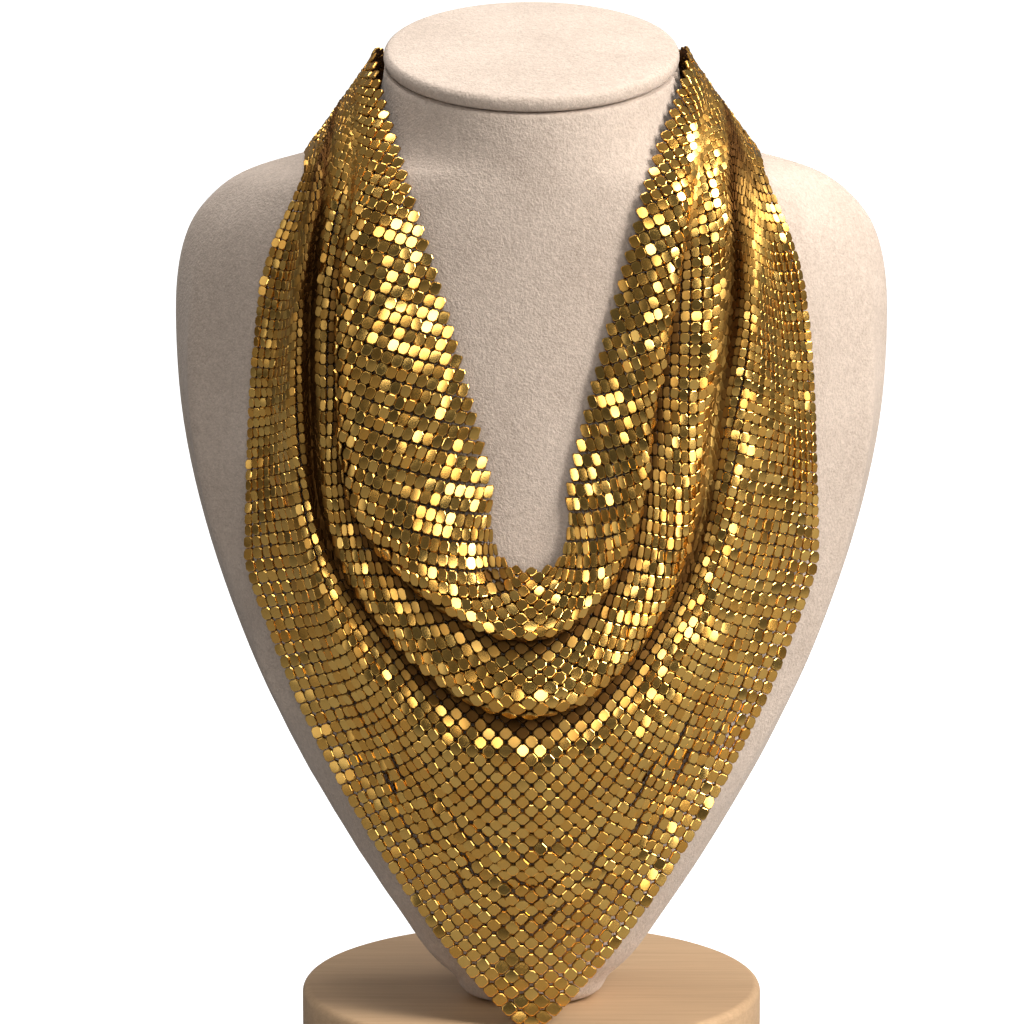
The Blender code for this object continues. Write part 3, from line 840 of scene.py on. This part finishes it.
def plate_axes(net):
    """Each plate's two side axes, as long as its room along them in full pitches, and outwards."""
    pitch = bpy.context.scene.necklace_mesh.pitch
    sides = []
    for step in ((1, 0), (0, 1)):
        ahead, behind = (neighbours(net, way) for way in (step, (-step[0], -step[1])))
        span = net.points[ahead] - net.points[behind]
        own = np.arange(len(ahead))
        number = (ahead != own).astype(float) + (behind != own)
        sides.append(span / (np.maximum(number, 1.0) * pitch)[:, None])
    out = np.cross(sides[1], sides[0])
    for _ in range(NORMAL_ROUNDS):
        out = out + sum(out[neighbours(net, way)] for way in ((1, 0), (-1, 0), (0, 1), (0, -1)))
    out = unit(out)
    sides = [side - out * (side * out).sum(1, keepdims=True) * NORMAL_HOLD for side in sides]
    for k, side in enumerate(sides):
        room = np.linalg.norm(side, axis=1, keepdims=True)
        sides[k] = side / np.maximum(room / ROOM_FILLED, 1.0)
    return *squared(*sides, out), out


def squared(first, second, out):
    """Side axes turned towards a right angle, as stiff plates lie where the net slants."""
    middle = unit(unit(first) + unit(second))
    across = unit(np.cross(out, middle))
    across *= np.sign((first * across).sum(1, keepdims=True))
    held = []
    for side, way in ((first, across), (second, -across)):
        length = np.linalg.norm(side, axis=1, keepdims=True)
        held.append(unit(unit(side) * (1 - SQUARED) + unit(middle + way) * SQUARED) * length)
    return held


def neighbours(net, step):
    """Index of each plate's neighbour at a step, or its own where there is none."""
    other = net.cells + step
    found = net.index[other[:, 0], other[:, 1]]
    found = np.where(other.min(1) >= 0, found, -1)
    return np.where(found >= 0, found, np.arange(len(found)))


def unit(vectors):
    return vectors / np.maximum(np.linalg.norm(vectors, axis=-1, keepdims=True), 1e-12)


# One plate: a foot spread to meet its neighbours', a rim with its corners cut off, a rounded
# shoulder and a low crown
PLATE_FOOT = 1.07
PLATE_FOOT_CORNER = 0.13
PLATE_CORNER = 0.23
PLATE_SHOULDER = 0.90
PLATE_ROUND = 0.00007


def plate_pattern(width, thickness, crown):
    """Vertices and faces of one plate, flat on its own axes."""
    half = width / 2
    levels = (
        (PLATE_FOOT, PLATE_FOOT_CORNER, -thickness),
        (1.0, PLATE_CORNER, 0.0),
        (PLATE_SHOULDER, PLATE_CORNER, PLATE_ROUND),
    )
    points = []
    for share, corner, height in levels:
        a = half * share
        b = a - width * share * corner
        rim = ((a, -b), (a, b), (b, a), (-b, a), (-a, b), (-a, -b), (-b, -a), (b, -a))
        points += [(x, y, height) for x, y in rim]
    points.append((0.0, 0.0, PLATE_ROUND + crown))
    faces = [tuple(range(7, -1, -1))]
    for k in range(8):
        ahead = (k + 1) % 8
        faces += [(low + k, low + ahead, low + 8 + ahead, low + 8 + k) for low in (0, 8)]
        faces.append((16 + k, 16 + ahead, 24))
    return np.array(points), faces


def ring_pattern(radius, wire, turns=6, sides=3):
    """Vertices and faces of one small closed ring, flat on its own axes."""
    points = []
    for k in range(turns):
        angle = 2 * math.pi * k / turns
        for m in range(sides):
            lean = 2 * math.pi * m / sides
            reach = radius + wire * math.cos(lean)
            height = wire * math.sin(lean)
            points.append((reach * math.cos(angle), reach * math.sin(angle), height))
    faces = []
    for k in range(turns):
        for m in range(sides):
            a = k * sides + m
            b = (k + 1) % turns * sides + m
            c = (k + 1) % turns * sides + (m + 1) % sides
            d = k * sides + (m + 1) % sides
            faces.append((a, b, c, d))
    return np.array(points), faces


# Plates and rings
PLATE_SEED = 7
PLATE_SMOOTH = math.radians(15)
SPIN_SHARE = 0.6
RING_SEED = 11
RING_SHARE = 0.27
RING_WIRE = 0.00022
RING_GAP = 0.00012
# Painted shade: the rings take mostly the near-black shade gold, as they lie in shadow behind the
# plates.
RING_POLISH_AND_LIGHT = 0.15

# Waves of the slow sway, and their lengths in plates
SWAY_WAVES = 9
SWAY_LENGTHS = (5.0, 17.0)

# Plates are painted dark, as shade, and made rougher where their room is small, and where the cloth
# within a reach stands over them
CROWD_LOOSE = 0.55
CROWD_TIGHT = 0.20
# Painted shade: how far plates walled in by the folds are darkened, and made rougher.
HOLLOW_SHADE_AND_DULLING = 0.97
HOLLOW_REACH = 0.020
HOLLOW_NEAREST = 0.001
HOLLOW_IGNORED = 0.0006
HOLLOW_SLIGHT = 0.14
HOLLOW_DEEP = 0.32
HOLLOW_SECTORS = 8
HOLLOW_BATCH = 400


def mesh_halves(kind, finish, smooth_angle, shape, places, looks, side):
    """Left and right piece of one shape repeated over the net, smoothed and dressed."""
    centres, axes = places
    for half, way in (("left", -1), ("right", 1)):
        here = side == way
        placed = [axis[here] for axis in axes]
        look = [values[here] for values in looks]
        piece = repeated(f"mesh_{kind}_{half}", *shape, centres[here], placed, *look)
        active(piece)
        bpy.ops.object.shade_smooth_by_angle(angle=smooth_angle)
        dressed(piece, finish, "mesh_bib")


def repeated(name, pattern, faces, centres, axes, tones, lit_and_polished_shares):
    """One mesh of a pattern repeated at many centres, each turned by its own axes."""
    points = centres[:, None, :] + sum(
        pattern[None, :, axis, None] * axes[axis][:, None, :] for axis in range(3)
    )
    total = len(centres)
    size = len(pattern)
    corners = np.concatenate([np.array(face) for face in faces])
    lengths = np.array([len(face) for face in faces])
    mesh = bpy.data.meshes.new(name)
    mesh.vertices.add(total * size)
    mesh.vertices.foreach_set("co", points.ravel())
    loops = (corners[None] + size * np.arange(total)[:, None]).ravel()
    mesh.loops.add(len(loops))
    mesh.loops.foreach_set("vertex_index", loops)
    all_lengths = np.tile(lengths, total)
    starts = np.concatenate(([0], np.cumsum(all_lengths)[:-1]))
    mesh.polygons.add(len(all_lengths))
    mesh.polygons.foreach_set("loop_start", starts)
    mesh.update(calc_edges=True)
    mesh.validate()
    tone = mesh.attributes.new("tone", "FLOAT", "POINT")
    tone.data.foreach_set("value", np.repeat(tones, size).astype(np.float32))
    polish_and_light = mesh.attributes.new("polish_and_light", "FLOAT", "POINT")
    polish_and_light.data.foreach_set("value", lit_and_polished_shares.ravel().astype(np.float32))
    piece = bpy.data.objects.new(name, mesh)
    bpy.context.scene.collection.objects.link(piece)
    return piece


def swayed(cells, random, size):
    """Slow swings of tilt over the net, the sum of a few waves at random angles."""
    swing = np.zeros((len(cells), 2))
    for _ in range(SWAY_WAVES):
        heading = random.uniform(0.0, math.pi)
        turns = 2 * math.pi / random.uniform(*SWAY_LENGTHS)
        travel = cells @ np.array([math.cos(heading), math.sin(heading)]) * turns
        wave = np.sin(travel + random.uniform(0.0, 2 * math.pi))
        swing += wave[:, None] * random.normal(0.0, 1.0, 2)
    return swing * size / math.sqrt(SWAY_WAVES)


def walled_in(points, axes):
    """How far the cloth round each plate stands over it, as a mean slope in all directions."""
    first = unit(axes[0])
    out = unit(axes[2])
    second = np.cross(out, first)
    walls = np.zeros(len(points))
    for start in range(0, len(points), HOLLOW_BATCH):
        part = slice(start, start + HOLLOW_BATCH)
        gaps = points[None] - points[part, None]
        a, b, height = (np.einsum("pqk,pk->pq", gaps, way[part]) for way in (first, second, out))
        spread = np.hypot(a, b)
        near = (spread < HOLLOW_REACH) & (spread > HOLLOW_NEAREST)
        rise = np.maximum(height - HOLLOW_IGNORED, 0.0)
        slope = np.where(near, rise / np.maximum(spread, HOLLOW_NEAREST), 0.0)
        turn = (np.arctan2(b, a) / math.pi + 1) / 2
        sector = (turn * HOLLOW_SECTORS).astype(int) % HOLLOW_SECTORS
        for k in range(HOLLOW_SECTORS):
            walls[part] += np.arctan(np.where(sector == k, slope, 0.0).max(axis=1))
    return walls * 2 / HOLLOW_SECTORS / math.pi


def lit_and_polished(points, axes):
    """How polished and how lit each plate is: 1 on the faces, near 0 deep in the crevices or
    bunched up, where shade is painted in.
    """
    area = np.linalg.norm(np.cross(axes[0], axes[1]), axis=1)
    crowded = np.clip((CROWD_LOOSE - area) / (CROWD_LOOSE - CROWD_TIGHT), 0.0, 1.0)
    over = walled_in(points, axes) - HOLLOW_SLIGHT
    hollow = np.clip(over / (HOLLOW_DEEP - HOLLOW_SLIGHT), 0.0, 1.0)
    # Painted shade: crowded plates and plates walled in by the folds get low values, which the
    # material darkens and roughens.
    return (1 - crowded) * (1 - HOLLOW_SHADE_AND_DULLING * hollow)


def tilted(axes, tilts, spins):
    """Plate axes leaned by small angles about both sides and turned in their plane."""
    first, second, out = axes
    leaned = (first + out * tilts[:, :1] + second * spins[:, None], second + out * tilts[:, 1:])
    return leaned[0], leaned[1], unit(np.cross(leaned[1], leaned[0]))


class NECKLACE_OT_plates(bpy.types.Operator):
    """Lay the gold plates of the mesh over the bust, left half and right half"""

    bl_idname = "necklace.plates"
    bl_label = "Mesh plates"

    def execute(self, context):
        sizes = context.scene.necklace_mesh
        net = laid_net()
        random = np.random.default_rng(PLATE_SEED)
        total = len(net.cells)
        tilts = random.normal(0.0, sizes.tilt, (total, 2))
        tilts += swayed(net.cells, random, sizes.sway)
        spins = random.normal(0.0, sizes.tilt * SPIN_SHARE, total)
        tones = random.random(total)
        straight = plate_axes(net)
        axes = tilted(straight, tilts, spins)
        width = sizes.pitch * sizes.plate_share
        shape = plate_pattern(width, sizes.plate_thickness, sizes.plate_crown)
        # Painted shade: the feet below each rim get 0, so the gaps between the plates are painted
        # dark, besides the crevice shade.
        lit_and_polished_shares = lit_and_polished(net.points, straight)[:, None] * (shape[0][:, 2] >= 0.0)[None, :]
        places = (net.points, axes)
        looks = (tones, lit_and_polished_shares)
        finish = gold_paint("gold_mesh")
        mesh_halves("plates", finish, PLATE_SMOOTH, shape, places, looks, net.side)
        return {"FINISHED"}


class NECKLACE_OT_rings(bpy.types.Operator):
    """Put the small rings that link the plates behind the gaps at their corners"""

    bl_idname = "necklace.rings"
    bl_label = "Link rings"

    def execute(self, context):
        sizes = context.scene.necklace_mesh
        net = laid_net()
        first, second, out = plate_axes(net)
        corner = net.index[net.cells[:, 0] + 1, net.cells[:, 1] + 1]
        beside = net.index[net.cells[:, 0] + 1, net.cells[:, 1]]
        above = net.index[net.cells[:, 0], net.cells[:, 1] + 1]
        whole = (corner >= 0) & (beside >= 0) & (above >= 0)
        here = np.flatnonzero(whole)
        around = np.stack([here, corner[here], beside[here], above[here]])
        lift = unit(out[around].sum(0))
        centres = net.points[around].mean(0) - lift * (sizes.plate_thickness + RING_GAP)
        places = (centres, (first[here], second[here], lift))
        shape = ring_pattern(sizes.pitch * RING_SHARE, RING_WIRE)
        tones = np.random.default_rng(RING_SEED).random(len(here))
        # Painted shade: every ring vertex gets the low ring value, so the rings are painted dark.
        looks = (tones, np.full((len(here), len(shape[0])), RING_POLISH_AND_LIGHT))
        finish = gold_paint("gold_links")
        mesh_halves("rings", finish, math.pi, shape, places, looks, net.side[here])
        return {"FINISHED"}


# Fold between the bust's front panel and its side bands
BAND_DEPTH = 0.013
BAND_FOLD_RISE = 0.0060
BAND_FOLD_FADE = 0.060
BAND_FOLD_LOW = 0.07
BAND_FOLD_HIGH = 0.262


def band_fold(builder):
    """Vertices of a bust mesh that lie on the folds between its front panel and side bands."""
    levels = {}
    for vertex in builder.verts:
        if BAND_FOLD_LOW < vertex.co.z < BAND_FOLD_HIGH:
            levels.setdefault((round(vertex.co.z, 4), vertex.co.x > 0), []).append(vertex)
    fold = set()
    for level in levels.values():
        edge_y = max(level, key=lambda vertex: abs(vertex.co.x)).co.y
        front = [vertex for vertex in level if vertex.co.y < edge_y - BAND_DEPTH / 2]
        if front:
            fold.add(min(front, key=lambda vertex: abs(vertex.co.y - edge_y + BAND_DEPTH)))
    return fold


class NECKLACE_OT_bust(bpy.types.Operator):
    """Cover the neck bust with velvet, with a crease between its front panel and side bands"""

    bl_idname = "necklace.bust"
    bl_label = "Velvet bust"

    def execute(self, context):
        piece = node_copy("neck_bust", "bust_velvet")
        builder = bmesh.new()
        builder.from_mesh(piece.data)
        crease = builder.edges.layers.float.new("crease_edge")
        fold = band_fold(builder)
        for vertex in fold:
            push = Vector((vertex.normal.x, vertex.normal.y, 0.0)).normalized()
            ends = min(vertex.co.z - BAND_FOLD_LOW, BAND_FOLD_HIGH - vertex.co.z) / BAND_FOLD_FADE
            vertex.co += push * BAND_FOLD_RISE * min(ends, 1.0)
        for edge in builder.edges:
            if edge.verts[0] in fold and edge.verts[1] in fold:
                edge[crease] = 1.0
            elif len(edge.link_faces) == 2 and edge.calc_face_angle(0.0) > math.radians(60):
                edge[crease] = 0.6
        builder.to_mesh(piece.data)
        builder.free()
        rounded(piece)
        bpy.ops.object.shade_smooth()
        dressed(piece, velvet_paint(), "neck_bust")
        return {"FINISHED"}


class NECKLACE_OT_cap(bpy.types.Operator):
    """Close the neck with its padded velvet disc"""

    bl_idname = "necklace.cap"
    bl_label = "Neck cap"

    def execute(self, context):
        piece = node_copy("neck_cap", "cap_velvet")
        rounded(piece)
        bpy.ops.object.shade_smooth_by_angle(angle=math.radians(40))
        dressed(piece, velvet_paint(), "neck_cap")
        return {"FINISHED"}


class NECKLACE_OT_base(bpy.types.Operator):
    """Turn the round wooden base with its softly rounded edges"""

    bl_idname = "necklace.base"
    bl_label = "Wooden base"

    def execute(self, context):
        low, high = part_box("wood_base")
        chosen_nothing()
        middle = (low + high) / 2
        bpy.ops.mesh.primitive_cylinder_add(
            vertices=192, radius=high.x, depth=high.z - low.z, location=middle, end_fill_type="NGON"
        )
        piece = context.object
        piece.name = "base_wood"
        edge = piece.modifiers.new("Edge", "BEVEL")
        edge.width = context.scene.necklace_base.edge
        edge.segments = 6
        edge.limit_method = "ANGLE"
        applied(piece)
        bpy.ops.object.shade_smooth_by_angle(angle=math.radians(30))
        dressed(piece, wood_paint(), "wood_base")
        return {"FINISHED"}


class NECKLACE_OT_fittings(bpy.types.Operator):
    """Finish the end caps and the clasp behind the neck"""

    bl_idname = "necklace.fittings"
    bl_label = "End caps and clasp"

    def execute(self, context):
        for node in ("end_cap_left", "end_cap_right", "hook_clasp"):
            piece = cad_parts[node]
            piece.data.materials.clear()
            piece.data.materials.append(fitting_paint())
        return {"FINISHED"}


# Strength of the room from its front to its back, and of what the camera sees behind the stage
WORLD_DEPTH = {"From Min": -0.95, "From Max": -0.1, "To Min": 0.05, "To Max": 0.18}
WORLD_NODES = {
    "way": "TexCoord",
    "parts": "SeparateXYZ",
    "depth": "MapRange",
    "ray": "LightPath",
    "mix": "Mix",
}
BACKDROP = 1.1
FLOOR_GLOW = 1.15
FLOOR_SIZE = 60.0
FLOOR_PLACE = (0.0, 20.0, -0.0002)
TARGET = (0.0, 0.0, 0.17)

# Camera at the photo's height, tilt and framing
CAMERA_PLACE = (0.0, -1.3376, 0.3834)
CAMERA_PITCH = math.radians(90 - 9.26)
CAMERA_LENS = 158.2
CAMERA_SENSOR = 36.0
CAMERA_SHIFT = -0.019
CAMERA_REACH = 200.0


def studio_world():
    """A dim room, darkest in front, behind a backdrop that the camera sees white."""
    world = bpy.data.worlds.new("studio")
    world.use_nodes = True
    tree = world.node_tree
    background = tree.nodes["Background"]
    nodes = {name: tree.nodes.new("ShaderNode" + kind) for name, kind in WORLD_NODES.items()}
    nodes["depth"].interpolation_type = "SMOOTHSTEP"
    for name, value in WORLD_DEPTH.items():
        nodes["depth"].inputs[name].default_value = value
    nodes["mix"].inputs["B"].default_value = BACKDROP
    tree.links.new(nodes["way"].outputs["Generated"], nodes["parts"].inputs[0])
    tree.links.new(nodes["parts"].outputs["Y"], nodes["depth"].inputs["Value"])
    tree.links.new(nodes["depth"].outputs[0], nodes["mix"].inputs["A"])
    tree.links.new(nodes["ray"].outputs["Is Camera Ray"], nodes["mix"].inputs["Factor"])
    tree.links.new(nodes["mix"].outputs[0], background.inputs["Strength"])
    background.inputs["Color"].default_value = (1.0, 1.0, 1.0, 1.0)
    return world


def pale_floor_paint():
    """Matt pale floor that the camera sees evenly lit."""
    paint = Paint("floor", Roughness=0.9, Specular_IOR_Level=0.1)
    speck = paint.noise(paint.place(), 3.0)
    seen = paint.node("ShaderNodeLightPath", {}, {}, "Is Camera Ray")
    paint.shader.inputs["Emission Strength"].default_value = FLOOR_GLOW
    return paint.feed(
        Base_Color=paint.mixed(speck, (0.22, 0.22, 0.22), (0.24, 0.24, 0.24)),
        Emission_Color=paint.mixed(seen, (0.0, 0.0, 0.0), (1.0, 1.0, 1.0)),
    )


class NECKLACE_OT_stage(bpy.types.Operator):
    """Set the pale floor, the soft lights and the camera"""

    bl_idname = "necklace.stage"
    bl_label = "Stage"

    def execute(self, context):
        sizes = context.scene.necklace_stage
        chosen_nothing()
        bpy.ops.mesh.primitive_plane_add(size=FLOOR_SIZE, location=FLOOR_PLACE)
        floor = context.object
        floor.name = "floor"
        floor.data.materials.append(pale_floor_paint())
        context.scene.world = studio_world()
        context.scene.view_settings.view_transform = "Standard"
        lamps = (
            ("key_light", (0.95, -0.48, 0.90), (0.5, 0.7), sizes.key, (1.0, 0.98, 0.95)),
            ("fill_light", (-1.1, -0.7, 0.45), (0.5, 1.1), sizes.fill, (1.0, 0.99, 0.98)),
            ("front_light", (0.0, -1.9, 0.85), (1.0, 0.6), sizes.front, (1.0, 0.99, 0.97)),
            ("side_light", (1.05, -0.80, 0.30), (0.25, 1.0), sizes.side, (1.0, 0.99, 0.96)),
            ("top_light", (-0.1, 0.1, 1.25), (0.7, 0.5), sizes.top, (1.0, 1.0, 1.0)),
        )
        for name, place, size, power, colour in lamps:
            lamp = bpy.data.lights.new(name, "AREA")
            lamp.shape = "RECTANGLE"
            lamp.size, lamp.size_y = size
            lamp.energy = power
            lamp.color = colour
            holder = bpy.data.objects.new(name, lamp)
            context.scene.collection.objects.link(holder)
            holder.location = place
            way = Vector(TARGET) - Vector(place)
            holder.rotation_euler = way.to_track_quat("-Z", "Y").to_euler()
        camera = bpy.data.cameras.new("camera")
        camera.sensor_width = CAMERA_SENSOR
        camera.lens = CAMERA_LENS
        camera.shift_x = CAMERA_SHIFT
        camera.clip_end = CAMERA_REACH
        holder = bpy.data.objects.new("camera", camera)
        context.scene.collection.objects.link(holder)
        holder.location = CAMERA_PLACE
        holder.rotation_euler = (CAMERA_PITCH, 0.0, 0.0)
        context.scene.camera = holder
        return {"FINISHED"}


class NECKLACE_PT_panel(bpy.types.Panel):
    """Sizes, colours and steps of the necklace"""

    bl_idname = "NECKLACE_PT_panel"
    bl_label = "Mesh bib necklace"
    bl_space_type = "VIEW_3D"
    bl_region_type = "UI"
    bl_category = "Necklace"

    def draw(self, context):
        for group in GROUPS:
            box = self.layout.box()
            box.label(text=group.removeprefix("necklace_").title())
            settings = getattr(context.scene, group)
            for name in settings.bl_rna.properties.keys():
                if name not in ("rna_type", "name"):
                    box.prop(settings, name)
        for step in STEPS:
            self.layout.operator(step.bl_idname)


STEPS = (
    NECKLACE_OT_stage,
    NECKLACE_OT_base,
    NECKLACE_OT_bust,
    NECKLACE_OT_cap,
    NECKLACE_OT_plates,
    NECKLACE_OT_rings,
    NECKLACE_OT_fittings,
)
GROUPS = {
    "necklace_mesh": MeshSizes,
    "necklace_bust": BustSizes,
    "necklace_base": BaseSizes,
    "necklace_stage": StageSizes,
}


def register():
    for item in (*GROUPS.values(), *STEPS, NECKLACE_PT_panel):
        bpy.utils.register_class(item)
    for name, group in GROUPS.items():
        setattr(bpy.types.Scene, name, PointerProperty(type=group))


def unregister():
    for name in GROUPS:
        delattr(bpy.types.Scene, name)
    for item in reversed((*GROUPS.values(), *STEPS, NECKLACE_PT_panel)):
        bpy.utils.unregister_class(item)


def main():
    register()
    for step in STEPS:
        group, name = step.bl_idname.split(".")
        getattr(getattr(bpy.ops, group), name)()


if __name__ == "__main__":
    main()
